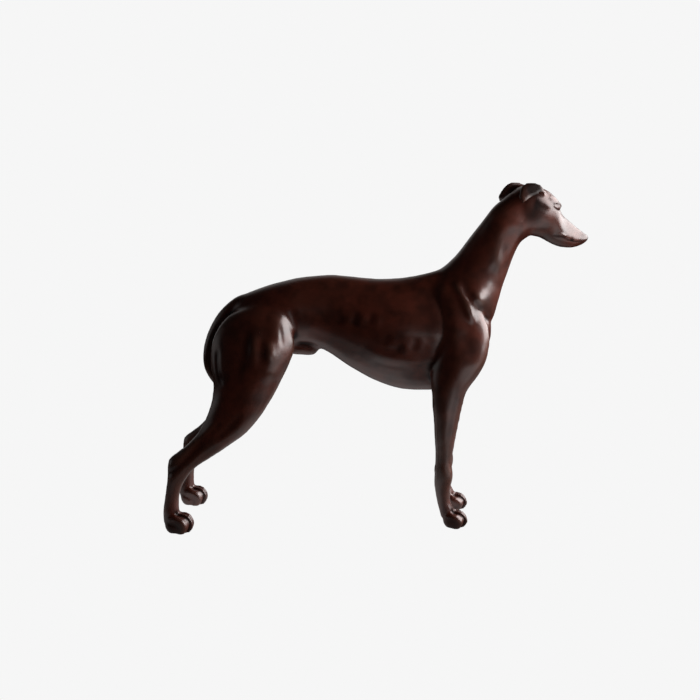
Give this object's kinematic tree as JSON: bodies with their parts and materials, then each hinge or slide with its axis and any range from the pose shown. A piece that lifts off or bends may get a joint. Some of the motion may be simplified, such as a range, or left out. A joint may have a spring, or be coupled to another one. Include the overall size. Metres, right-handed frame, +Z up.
{
  "type": "greyhound statue",
  "caption": "Life-size standing greyhound cast in dark bronze, head turned slightly left, tail tucked between the thighs, resting on flat-soled paws.",
  "frame": {"origin": "on the floor, under the middle of the statue's bounding box", "axes": "+X toward the dog's nose, +Y toward the dog's left side, +Z up"},
  "size_m": [1.1562, 0.2824, 0.9254],
  "materials": {
    "bronze": "satin, dark reddish-brown patina"
  },
  "bodies": {
    "root": {"greyhound": "bronze"}
  },
  "joints": []
}
